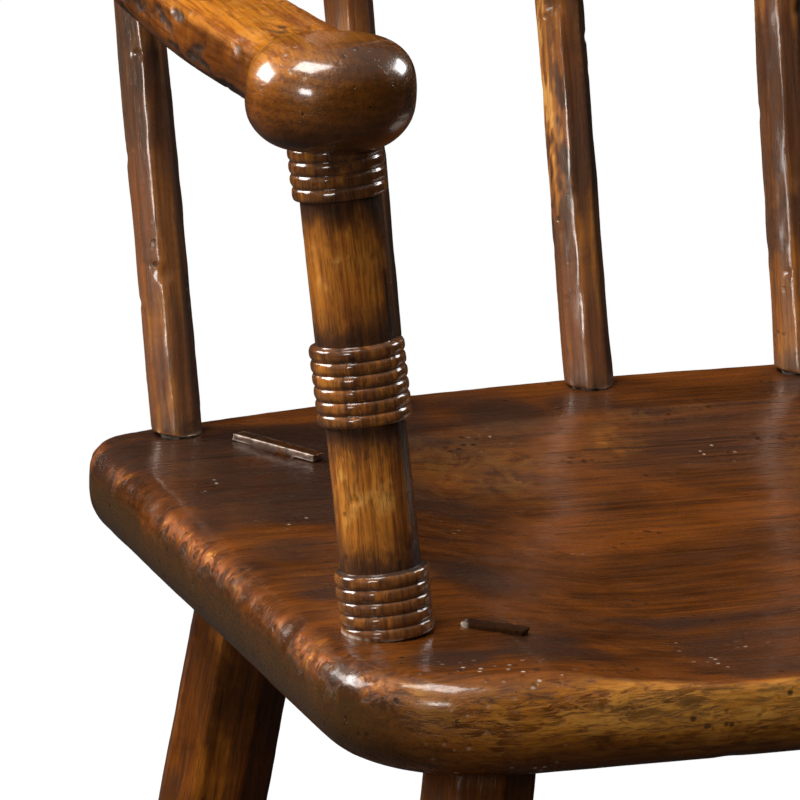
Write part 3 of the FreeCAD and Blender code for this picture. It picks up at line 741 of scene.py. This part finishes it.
def tenon_fillings():
    """What closes the leg sockets: round pegs, and the upper parts of the leg tenons."""
    fillings = []
    for row in ROWS:
        for side in SIDES:
            top = across_side(LEG_TOPS[row], side)
            axis = across_side(LEG_AXES[row], side)
            fillings.append(peg(top - axis * FILLING_BOTTOM, top - axis * FILLING_TOP, FILLING_RADIUS))
            tenon = merged_copy(row + "_" + side + "_leg", "tenon")
            cut_below(tenon, FLAT_TOP - TENON_KEPT)
            fillings.append(tenon)
    return fillings


class SeatWear:
    """The wear of the plank. Each place on it is a value from 0 to 1 at every point of its skin."""

    def __init__(self, skin):
        self.skin = skin
        self.points = skin.points
        self.arris = np.clip(skin.spread(skin.curvature(cells().seat, rounds=3), rounds=6) / 90, -1, 1)
        self.ends = ramp(np.abs(skin.points[:, 0]), 0.235, 0.030)
        self.upper = ramp(skin.points[:, 2] - SEAT_LOW.z, 0.018, 0.012)
        self.chips = skin.cloud((85, 70, 85), 3, octaves=4)
        self.broad = skin.cloud((9, 11, 20), 4)
        self.chipped = share((self.chips + 0.15) * 2.2) * share(self.arris) * self.upper
        self.feet = [across_side(POST_FOOT, side) for side in SIDES]
        self.feet += [stick_foot(number, PLANK_FOOT_INSET) for number in range(STICK_COUNT)]

    def press(self):
        """Waves and ripples, clear of what stands on the plank, then chips, lost splinters and knocks."""
        waves = self.skin.cloud((5, 13, 13), 1)
        ripple = self.skin.cloud((22, 60, 60), 2)
        clear = 1 - near_points(self.points, self.feet, FOOT_REACH)
        self.skin.press((0.0004 * (0.4 + waves) + 0.00015 * ripple) * clear
                        + depths().chip * self.chipped * (0.25 + 0.75 * self.ends))
        for x, y in CHIPPED_SPOTS:
            for side in SIDES:
                lost = Vector((x, PLANK_FRONT + y, FLAT_TOP - SPLINTER_DROP))
                self.skin.dent(across_side(lost, side), SPLINTER_REACH, depths().chip)
        self.skin.scatter_dents(70, (0.004, 0.012), depths().dent * 0.7, 11)

    def mark(self):
        """Stores where the wood is torn, rubbed, smoky, knocked and polished, and where it is darker."""
        skin, points, ends = self.skin, self.points, self.ends
        breaks = skin.cloud((16, 42, 16), 6, octaves=4)
        rise = skin.normals[:, 2]
        from_middle = np.abs(points[:, 0])
        end_band = hump(rise, 0.62, 0.24) * self.upper * ends * share(0.70 + breaks * 3.2)
        splinters = hump(rise, 0.25, 0.22) * self.upper * ends * share(breaks * 3)
        front_band = hump(points[:, 2] - FLAT_TOP, -0.016, 0.015) * share(-skin.normals[:, 1] * 1.5)
        front_band = front_band * share((0.26 - from_middle) / 0.09) * share(0.8 + self.broad)
        torn_front = front_band * 0.9 * share(0.9 + self.broad * 2)
        skin.keep("torn", share(end_band * 1.1 + splinters * 0.5 + torn_front))
        skin.keep("end_face", ramp(from_middle, 0.245, 0.015))

        on_top = ramp(points[:, 2] - FLAT_TOP, -0.014, 0.006)
        warm = on_top * near_spots(points, WARM_SPOTS) * share(0.28 + breaks * 0.5 + self.chips * 0.4, 0.42)
        skin.keep("rub_and_light", share(warm + end_band * 0.45 + front_band * 1.10 + self.chipped * 0.3))
        skin.keep("smoke", on_top * np.maximum(near_spots(points, SMOKY_SPOTS), ends * 0.6) * (1 - end_band))
        skin.keep("knocked", near_spots(points, GOUGES))
        skin.keep("polish", near_spots(points, GLOSSY_SPOTS) * self.upper)

        lower = share((FLAT_TOP - 0.007 - points[:, 2] + breaks * 0.006) / 0.007)
        end_grain = share(np.abs(skin.normals[:, 0]) * 1.6 - 0.4) * lower
        skin.keep("end_grain", end_grain * 0.85)
        # Darker round the feet and the tops of the legs, a little towards the underside, and on the end
        # grain
        tops = [across_side(LEG_TOPS[row], side) for row in ROWS for side in SIDES]
        under = share((SEAT_LOW.z + 0.016 - points[:, 2]) / 0.014)
        grime_and_shade = near_points(points, self.feet, FOOT_REACH) * 0.65
        for other in (near_points(points, tops, 0.034) * 0.55, under * 0.1, end_grain * 0.25):
            grime_and_shade = np.maximum(grime_and_shade, other)
        skin.keep("grime_and_shade", share(grime_and_shade + share(-self.arris) * 0.3))


class CHAIR_OT_seat(bpy.types.Operator):
    """Makes the saddled plank, with worn arrises, chips and knocks"""
    bl_idname = "chair.seat"
    bl_label = "Seat plank"

    def execute(self, context):
        piece = merged_copy("seat_plank", "worn_seat")
        joined(piece, tenon_fillings())
        evened(piece, cells().seat, smooth_rounds=3)
        skin = Skin(piece)
        wear = SeatWear(skin)
        wear.press()
        wear.mark()
        skin.keep_grain((1, 0, 0), 0.7)
        skin.settle("seat_plank")
        dressed(piece, "seat_plank",
                waxed_wood("plank_wood", 0.10, rings=0.18, pores=0.45, smoke=0.8, gloss=0.25, sheen=0.38))
        return {"FINISHED"}


class CHAIR_OT_legs(bpy.types.Operator):
    """Makes the four hewn legs"""
    bl_idname = "chair.legs"
    bl_label = "Legs"

    def execute(self, context):
        seed = 20
        for row in ROWS:
            for side in SIDES:
                node = row + "_" + side + "_leg"
                axis = across_side(LEG_AXES[row], side)
                # Painted shadow at the top of each leg, just under the plank
                shade_under_plank = across_side(LEG_TOPS[row], side) - axis * 0.045
                piece = shaved_bar(node, cells().leg, axis, seed, smooth_rounds=5, dents=16,
                                   dirt_and_shade_places=[shade_under_plank], dirt_and_shade_reach=0.045)
                dressed(piece, node, waxed_wood(node + "_wood", 0.42))
                seed += 3
        return {"FINISHED"}


class CHAIR_OT_wedges(bpy.types.Operator):
    """Makes the leg wedges, the post wedges and the small pegs"""
    bl_idname = "chair.wedges"
    bl_label = "Wedges and pegs"

    def execute(self, context):
        proud_wood = waxed_wood("wedge_wood", 0.0, gloss=0.22, coat=0.2)
        flush_wood = waxed_wood("flush_wedge_wood", 0.0, gloss=0.6, coat=0.0, sheen=0.1)
        nodes = [row + "_" + side + "_wedge" for row in ROWS for side in SIDES]
        nodes += ["post_wedges", "lap_pegs", "comb_pegs"]
        for seed, node in enumerate(nodes):
            flush = node.startswith("front")
            piece = even_copy(node, cells().wedge, smooth_rounds=6 if flush else 2)
            skin = Skin(piece)
            torn = skin.cloud((90, 90, 60), seed)
            skin.press((0.2 + torn) * 0.0001)
            arris = share(skin.curvature(cells().wedge, rounds=2) / 500)
            if flush:
                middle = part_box(node)[0].lerp(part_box(node)[1], 0.5)
                # Painted highlight at the outer end of a flush wedge
                highlit_end = np.maximum(np.abs(skin.points[:, 0]) - abs(middle.x) - 0.006, 0) * 400
                rub_and_light, grime_and_shade, dust_and_highlight = arris * 0.1, 0.85 - arris * 0.1, highlit_end * (0.3 + torn)
            else:
                # Painted highlights along the proud wedges' arrises
                rub_and_light, grime_and_shade, dust_and_highlight = arris * 0.5, 0.6 - arris, share(arris * 2.5 - 0.6) * (0.9 + torn * 2.0)
            skin.keep("rub_and_light", rub_and_light)
            skin.keep("grime_and_shade", share(grime_and_shade))
            skin.keep("dust_and_highlight", share(dust_and_highlight))
            skin.keep_grain((0.2, 0.3, 1), seed + 40)
            skin.settle(node)
            dressed(piece, node, flush_wood if flush else proud_wood)
        return {"FINISHED"}


class CHAIR_OT_stretchers(bpy.types.Operator):
    """Makes the three stretchers"""
    bl_idname = "chair.stretchers"
    bl_label = "Stretchers"

    def execute(self, context):
        wood = waxed_wood("stretcher_wood", 0.2)
        runs = {"left_side_stretcher": Vector((0, 1, 0)), "right_side_stretcher": Vector((0, 1, 0)),
                "cross_stretcher": Vector((1, 0, 0))}
        for seed, (node, along) in enumerate(runs.items(), start=50):
            low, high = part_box(node)
            middle = (low + high) / 2
            reach = along * (high - low).dot(along) / 2
            piece = shaved_bar(node, cells().stretcher, along, seed, smooth_rounds=4, dents=10,
                               dirt_and_shade_places=[middle - reach, middle + reach], dirt_and_shade_reach=0.04)
            dressed(piece, node, wood)
        return {"FINISHED"}


def select_upright(bar, axis):
    """Selects the edges that run along an axis."""
    only(bar)
    bpy.ops.object.mode_set(mode="EDIT")
    bpy.ops.mesh.select_mode(type="EDGE")
    bpy.ops.mesh.select_all(action="DESELECT")
    bpy.ops.object.mode_set(mode="OBJECT")
    skin = Skin(bar)
    runs = skin.points[skin.second] - skin.points[skin.first]
    length = np.linalg.norm(runs, axis=1)
    bar.data.edges.foreach_set("select", np.abs(runs @ np.array(axis)) > length * 0.9)


def turned_bar(name, start, end, radius, sides, cell):
    """A round bar with rows of faces close enough together to be turned to a profile."""
    bar = peg(start, end, radius, sides)
    bar.name = name
    # The operator makes no more than 100 cuts at once, so each row is cut, and cut again.
    cuts = round(((end - start).length / cell) ** 0.5)
    for _ in range(2):
        select_upright(bar, (end - start).normalized())
        bpy.ops.object.mode_set(mode="EDIT")
        bpy.ops.mesh.subdivide(number_cuts=cuts)
        bpy.ops.object.mode_set(mode="OBJECT")
    return bar


def turning(heights):
    """At heights along a post: its radius, how near a groove they are, and how near a collar."""
    start = COLLARS[0][0]
    radii = np.interp(heights, (start - TENON_SHOULDER, start), (LOWER_TENON, GROOVE))
    radii = np.where(heights > start, SHAFT, radii)
    top = COLLARS[-1][0] + RING_PITCH * COLLARS[-1][1]
    radii = np.where(heights > top, UPPER_TENON, radii)
    grooves, collars = np.zeros(len(heights)), np.zeros(len(heights))
    for low, count in COLLARS:
        high = low + RING_PITCH * count
        inside = (heights >= low) & (heights <= high)
        off_crown = np.abs((heights - low) / RING_PITCH % 1 * 2 - 1)
        radii = np.where(inside, GROOVE + (CROWN - GROOVE) * (1 - off_crown ** 3), radii)
        grooves = np.where(inside, np.exp(-((1 - off_crown) / 0.13) ** 2), grooves)
        away = np.maximum(np.maximum(low - heights, heights - high), 0)
        collars = np.maximum(collars, np.exp(-(away / 0.013) ** 1.5))
    return radii, grooves, collars


class CHAIR_OT_posts(bpy.types.Operator):
    """Makes the two ring-turned arm posts"""
    bl_idname = "chair.posts"
    bl_label = "Arm posts"

    def execute(self, context):
        for number, side in enumerate(SIDES):
            seed = number + 60
            node = side + "_arm_post"
            foot = across_side(POST_FOOT, side)
            axis = across_side(POST_AXIS, side).normalized()
            start, end = (foot + axis * height for height in POST_RUN)
            piece = turned_bar("worn_" + node, start, end, SHAFT, POST_SIDES, cells().post)
            skin = Skin(piece)
            heights = (skin.points - np.array(foot)) @ np.array(axis)
            outwards = skin.points - np.array(foot) - heights[:, None] * np.array(axis)
            reach = np.maximum(np.linalg.norm(outwards, axis=1), MERGE_DISTANCE)
            radii, grooves, collars = turning(heights)
            skin.points += outwards * ((radii / reach) - 1)[:, None]
            skin.normals = outwards / reach[:, None]
            waves = skin.cloud((45, 45, 14), seed)
            worn = share(skin.cloud((160, 160, 90), seed + 4))
            skin.press((0.5 + waves) * 0.0003 + worn * 0.0004 * collars)
            skin.scatter_dents(26, (0.0015, 0.0045), depths().dent * 0.5, seed)
            # Painted light on the side that faces outwards and to the front, painted shade on the side away
            # from it; the shaft is also darker next to the collars
            lit_way = across_side(Vector((0.55, -0.83, 0)), side)
            lit_side = share(skin.normals @ np.array(lit_way) * 0.8 + 0.35)
            on_collar = collars > 0.999
            grime_and_shade = np.where(on_collar, 0.08, collars * 0.6 + (1 - lit_side) * 0.60)
            rub_and_light = np.where(on_collar, 0.34, (0.75 - collars * 0.6) * lit_side)
            skin.keep("grime_and_shade", share(grime_and_shade + grooves * 0.9))
            skin.keep("rub_and_light", share(rub_and_light + worn * 0.3))
            skin.keep("polish", on_collar * 1.3)
            skin.keep("dust_and_highlight", np.maximum(dry_wax_and_highlight(skin, seed), POST_FILM))
            skin.keep_grain(axis, seed)
            skin.settle(node)
            dressed(piece, node,
                    waxed_wood(node + "_wood", 0.45, rings=0.15, pores=0.8, patchy=0.6, smoke=0.2,
                               gloss=0.20, sheen=0.12, dash_pace=(170.0, 1300.0, 1300.0)))
        return {"FINISHED"}


class CHAIR_OT_arms(bpy.types.Operator):
    """Makes the arms with their carved hand knobs"""
    bl_idname = "chair.arms"
    bl_label = "Arms"

    def execute(self, context):
        for number, side in enumerate(SIDES):
            seed = number + 70
            node = side + "_arm"
            piece = even_copy(node, cells().arm, smooth_rounds=10)
            skin = Skin(piece)
            arris = skin.arris(cells().arm, rounds=4, full=160)
            knob = across_side(KNOB, side)
            from_knob = ramp(skin.points[:, 1] - knob.y, 0.004, 0.045)
            waves = skin.cloud((22, 12, 22), seed)
            gouges = skin.cloud((110, 45, 110), seed + 1, octaves=4)
            skin.scatter_dents(26, (0.001, 0.003), depths().dent * 0.5, seed)
            skin.soften(1 - from_knob, 30)
            skin.soften(share(skin.spread(share(-arris), 20) * 8), 200)
            gouges = share(gouges - 0.12) * from_knob
            skin.press((0.5 + waves) * 0.0006 + gouges * 0.0020)
            # Upward faces are partly rubbed by hands and partly given painted light
            worn_and_lit_top = share(skin.normals[:, 2] * 1.2 + 0.1)
            outer = np.abs(skin.points[:, 0]) - abs(knob.x)
            near_arm = ramp(skin.points[:, 1] - knob.y + outer * 0.8, -0.030, 0.05)
            rub_and_light = worn_and_lit_top * (from_knob * 0.06 + near_arm * 0.52) + 0.10
            skin.keep("rub_and_light", share(rub_and_light + arris * 0.15 * from_knob + (1 - from_knob) * 0.08))
            # Painted shade on faces that turn down, under the arm and the knob
            painted_underside_shade = share(0.25 - skin.normals[:, 2])
            skin.keep("grime_and_shade", share(painted_underside_shade * 0.80 + share(-arris) * 0.5 + gouges * 1.5))
            skin.keep("polish", (1 - from_knob) * 1.5)
            knob_gouges = [knob + Vector(spot) for spot in KNOB_GOUGES]
            skin.keep("knocked", near_points(skin.points, knob_gouges, KNOB_GOUGE_REACH))
            skin.keep("end_grain", (1 - near_arm) * 0.45)
            skin.keep_grain((0, 1, 0), seed)
            skin.settle(node)
            dressed(piece, node,
                    waxed_wood(node + "_wood", 0.42, pores=0.35, smoke=0.2, gloss=0.27))
        return {"FINISHED"}


class CHAIR_OT_back(bpy.types.Operator):
    """Makes the back rail and the comb"""
    bl_idname = "chair.back"
    bl_label = "Back rail and comb"

    def execute(self, context):
        slots = {"back_rail": "arm_wood", "comb": "comb_wood"}
        for seed, (node, slot) in enumerate(slots.items(), start=80):
            piece = even_copy(node, cells().comb, smooth_rounds=8)
            skin = Skin(piece)
            arris = skin.arris(cells().comb, rounds=4, full=160)
            waves = skin.cloud((9, 26, 26), seed)
            skin.press((0.5 + waves) * 0.0008)
            skin.scatter_dents(30, (0.003, 0.008), depths().dent * 0.6, seed)
            skin.keep("rub_and_light", share(arris * 0.6 + share(skin.normals[:, 2]) * 0.35))
            skin.keep("grime_and_shade", share(-arris) * 0.5)
            skin.keep_grain((1, 0, 0), seed)
            skin.settle(node)
            dressed(piece, node, waxed_wood(node + "_wood", 0.3, gloss=0.28))
        return {"FINISHED"}


class CHAIR_OT_sticks(bpy.types.Operator):
    """Makes the six shaved back sticks"""
    bl_idname = "chair.sticks"
    bl_label = "Back sticks"

    def execute(self, context):
        wood = waxed_wood("stick_wood", 0.34, rings=0.15, smoke=0.3, gloss=0.25)
        for number in range(STICK_COUNT):
            node = stick_name(number)
            foot = stick_foot(number, STICK_FOOT_INSET)
            piece = shaved_bar(node, cells().stick, STICK_AXIS, number + 30, smooth_rounds=5, dents=44,
                               dirt_and_shade_places=[foot], dirt_and_shade_reach=0.02, turn=STICK_TURN)
            dressed(piece, node, wood)
        return {"FINISHED"}


# Studio

LAMPS = (
    # name, direction from the chair, size across and up in metres, radiance
    ("left", (-0.790, 0.460, 0.400), (1.20, 0.85), 20.0),
    ("right", (0.870, 0.245, 0.430), (0.90, 0.60), 14.0),
    ("top", (-0.379, -0.192, 0.903), (1.05, 1.10), 15.5),
    ("front", (-0.690, -0.690, 0.220), (0.50, 0.36), 24.0),
)
LAMPS_AIM = Vector((-0.15, -0.15, 0.55))

# A soft bright card in the world: its direction and its radiance
CARD = (-0.853, -0.508, 0.099)
CARD_RADIANCE = 0.35

# The camera: where it looks from in degrees, its place from the left post's foot, and its long lens
AZIMUTH, ELEVATION = -16.3, 14.7
CAMERA_FROM_POST = Vector((-0.66866, -2.30312, 0.72031))
SENSOR_WIDTH, FOCAL_PIXELS, PICTURE_PIXELS = 36.0, 6500, 800

WHITE = (1, 1, 1, 1)
PALE = (0.80, 0.80, 0.80, 1)
DARK = (0.03, 0.03, 0.03, 1)


def floor_paint():
    """To the camera white, with a little shade near the chair, and dark to all other rays."""
    sheet = Sheet(bpy.data.materials.new("pale_floor"))
    seen = sheet.add("ShaderNodeLightPath", output="Is Camera Ray")
    place = sheet.add("ShaderNodeTexCoord", output="Object")
    away = sheet.add("ShaderNodeVectorMath", {"operation": "LENGTH"}, {0: place}, output="Value")
    near_white = sheet.step(away, 0.5, 1.7, 0.55, 1.0)
    matt = sheet.add("ShaderNodeBsdfDiffuse", inputs={"Color": DARK})
    bright = sheet.add("ShaderNodeBsdfDiffuse", inputs={"Color": PALE})
    glow = sheet.add("ShaderNodeEmission", inputs={"Color": WHITE, "Strength": 1.0})
    lit = sheet.add("ShaderNodeMixShader", inputs={0: near_white, 1: bright, 2: glow})
    surface = sheet.add("ShaderNodeMixShader", inputs={0: seen, 1: matt, 2: lit})
    sheet.add("ShaderNodeOutputMaterial", inputs={"Surface": surface})
    return sheet.owner


def paint_world(fill):
    """Weak light from above and a soft bright card at the left, with white behind the chair.

    Only the camera sees the white: nothing here is metal or glass, and dark waxed wood would
    mirror it as a grey veil."""
    world = bpy.data.worlds.new("studio")
    bpy.context.scene.world = world
    sheet = Sheet(world)
    way = sheet.add("ShaderNodeTexCoord", output="Generated")
    rise = sheet.add("ShaderNodeSeparateXYZ", inputs={0: way}, output=2)
    overhead = sheet.add("ShaderNodeMapRange", inputs={"Value": rise, "From Min": 0.35, "From Max": 0.9,
                                                       "To Min": fill * 0.015, "To Max": fill})
    towards = sheet.add("ShaderNodeVectorMath", {"operation": "DOT_PRODUCT"}, {0: way, 1: CARD},
                        output="Value")
    card = sheet.step(towards, 0.84, 1.0) * CARD_RADIANCE
    around = sheet.add("ShaderNodeBackground", inputs={"Color": WHITE, "Strength": overhead + card})
    white = sheet.add("ShaderNodeBackground", inputs={"Color": WHITE, "Strength": 1.0})
    seen = sheet.add("ShaderNodeLightPath", output="Is Camera Ray")
    mixed = sheet.add("ShaderNodeMixShader", inputs={0: seen, 1: around, 2: white})
    sheet.add("ShaderNodeOutputWorld", inputs={"Surface": mixed})


def lay_floor(size):
    bpy.ops.object.select_all(action="DESELECT")
    bpy.ops.mesh.primitive_plane_add(size=size)
    floor = bpy.context.active_object
    floor.name = "floor"
    floor.data.materials.append(floor_paint())


def hang_lamps(distance):
    for name, direction, (width, height), radiance in LAMPS:
        data = bpy.data.lights.new(name + "_lamp", "AREA")
        data.shape = "RECTANGLE"
        data.size, data.size_y = width, height
        data.energy = radiance * math.pi * width * height
        lamp = bpy.data.objects.new(name + "_lamp", data)
        bpy.context.scene.collection.objects.link(lamp)
        way = Vector(direction).normalized()
        lamp.location = LAMPS_AIM + way * distance
        lamp.rotation_euler = way.to_track_quat("Z", "Y").to_euler()


def place_camera():
    data = bpy.data.cameras.new("camera")
    data.sensor_width = SENSOR_WIDTH
    data.lens = SENSOR_WIDTH * FOCAL_PIXELS / PICTURE_PIXELS
    data.clip_start, data.clip_end = 0.05, 60.0
    camera = bpy.data.objects.new("camera", data)
    bpy.context.scene.collection.objects.link(camera)
    azimuth, elevation = math.radians(AZIMUTH), math.radians(ELEVATION)
    back = Vector((math.sin(azimuth) * math.cos(elevation),
                   -math.cos(azimuth) * math.cos(elevation), math.sin(elevation)))
    camera.rotation_mode = "QUATERNION"
    camera.rotation_quaternion = back.to_track_quat("Z", "Y")
    camera.location = across_side(POST_FOOT, "left") + CAMERA_FROM_POST
    bpy.context.scene.camera = camera


class CHAIR_OT_stage(bpy.types.Operator):
    """Sets up the floor, the lamps and the camera"""
    bl_idname = "chair.stage"
    bl_label = "Studio"

    def execute(self, context):
        studio = context.scene.chair_studio
        lay_floor(studio.floor_size)
        hang_lamps(studio.lamp_distance)
        paint_world(studio.fill)
        place_camera()
        context.scene.view_settings.view_transform = "Standard"
        return {"FINISHED"}


class CHAIR_PT_dressing(bpy.types.Panel):
    """Lists what dresses the armchair"""
    bl_idname = "CHAIR_PT_dressing"
    bl_label = "Armchair"
    bl_space_type = "VIEW_3D"
    bl_region_type = "UI"
    bl_category = "Armchair"

    def draw(self, context):
        for step in STEPS:
            self.layout.operator(step.bl_idname)


GROUPS = {"chair_colours": WaxedWoodColours, "chair_cells": MeshCells,
          "chair_wear": WearDepths, "chair_studio": StudioChoices}
STEPS = (CHAIR_OT_seat, CHAIR_OT_legs, CHAIR_OT_wedges, CHAIR_OT_stretchers, CHAIR_OT_posts,
         CHAIR_OT_arms, CHAIR_OT_back, CHAIR_OT_sticks, CHAIR_OT_stage)


def register():
    for name, group in GROUPS.items():
        bpy.utils.register_class(group)
        setattr(bpy.types.Scene, name, bpy.props.PointerProperty(type=group))
    for step in STEPS:
        bpy.utils.register_class(step)
    bpy.utils.register_class(CHAIR_PT_dressing)


def unregister():
    bpy.utils.unregister_class(CHAIR_PT_dressing)
    for step in reversed(STEPS):
        bpy.utils.unregister_class(step)
    for name, group in GROUPS.items():
        delattr(bpy.types.Scene, name)
        bpy.utils.unregister_class(group)


def main():
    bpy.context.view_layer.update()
    register()
    for step in STEPS:
        family, name = step.bl_idname.split(".")
        getattr(getattr(bpy.ops, family), name)()


if __name__ == "__main__":
    main()
